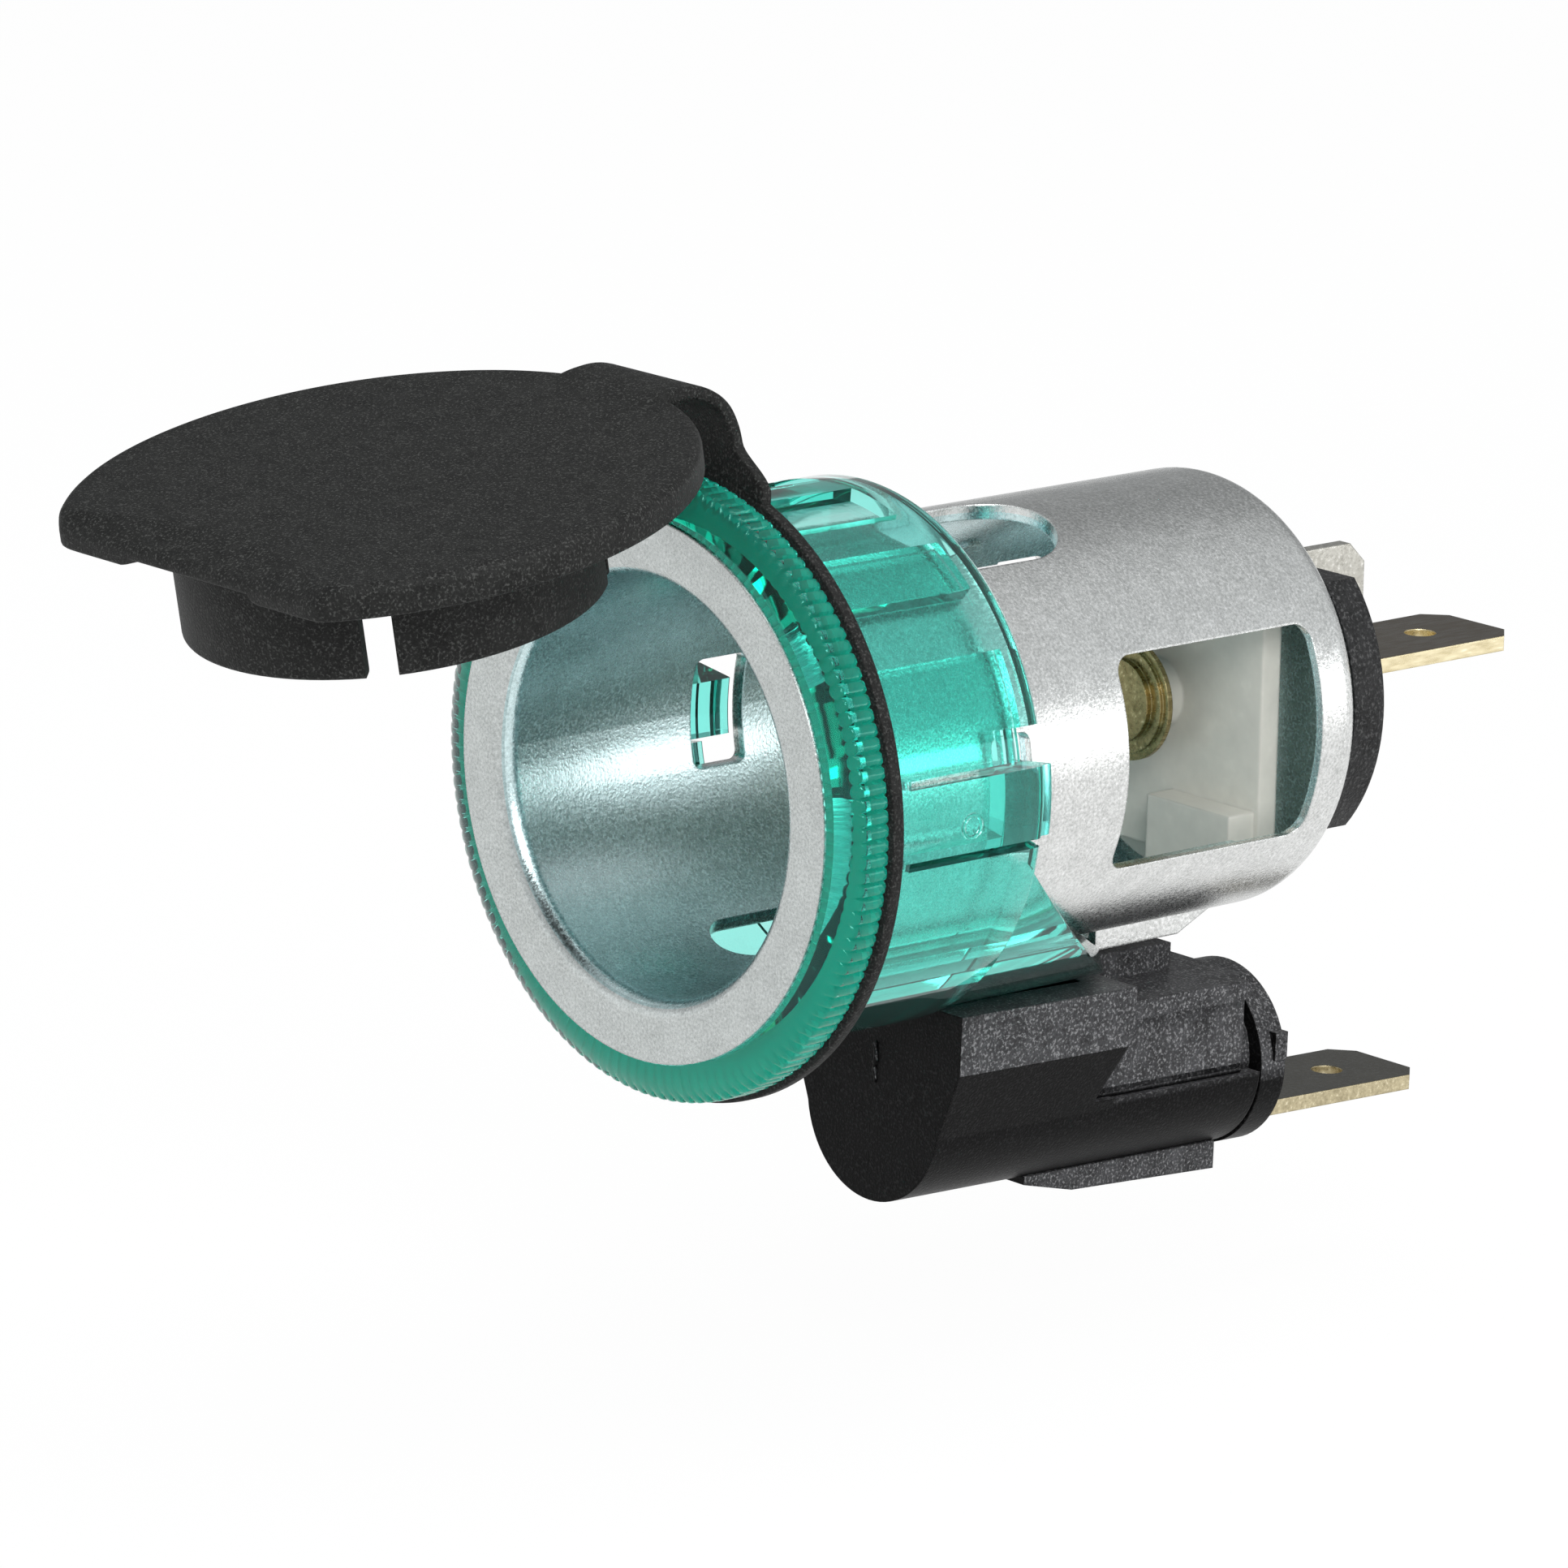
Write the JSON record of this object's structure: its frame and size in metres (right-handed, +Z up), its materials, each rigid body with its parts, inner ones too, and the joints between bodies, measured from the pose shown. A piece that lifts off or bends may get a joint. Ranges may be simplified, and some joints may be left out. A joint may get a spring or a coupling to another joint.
{
  "type": "panel power socket",
  "caption": "Round panel socket for a vehicle accessory plug, with a lit clear collar, a lamp holder below it, push-on blades and a tethered lid.",
  "frame": {"origin": "on the socket axis, in the plane where the back of the cover ring meets the front of the panel", "axes": "+Y runs along the socket axis from the mouth to the terminals, so the mouth faces -Y; +Z is up, towards the lid hinge; +X is to the right for somebody who looks into the mouth"},
  "size_m": [0.034, 0.0831, 0.0465],
  "materials": {
    "zinc_steel": "bright zinc plate, slightly speckled",
    "green_clear": "clear tinted moulding",
    "black_soft": "fine spark texture",
    "white_plastic": "plain",
    "brass": "rolled, slightly dull",
    "black_board": "pressed board, fine grain",
    "tinned_metal": "tinned brass",
    "black_plastic": "spark texture, glittering",
    "solder": "dull",
    "clear_glass": "clear",
    "tungsten": "drawn wire"
  },
  "bodies": {
    "socket": {"shell": "zinc_steel", "light_ring": "green_clear", "cover_ring": "black_soft", "insulator": "white_plastic", "centre_contact": "brass", "centre_rivet": "brass", "rear_plate": "black_board", "plus_terminal": "brass", "minus_terminal": "tinned_metal", "lamp_hood": "black_plastic"},
    "carrier": {"lamp_carrier": "black_plastic", "lamp_ground_spring": "tinned_metal", "lamp_terminal": "tinned_metal", "bulb_cap": "brass", "bulb_base_insulator": "black_board", "bulb_solder_tip": "solder", "bulb_glass": "clear_glass", "bulb_stem": "clear_glass", "bulb_leads": "solder", "bulb_filament": "tungsten"},
    "lid": {"lid": "black_soft", "hinge_strap": "black_soft"}
  },
  "joints": [
    {"name": "lid_hinge", "type": "hinge", "parent": "socket", "child": "lid", "pos_m": [0, -0.00211, 0.01761], "axis": [1, 0, 0], "range_deg": [-18, 79.4], "stiffness_Nm_per_rad": 0.004},
    {"name": "carrier_slide", "type": "slide", "parent": "socket", "child": "carrier", "axis": [0, 0.9997, -0.0262], "range_m": [0, 0.025]}
  ]
}
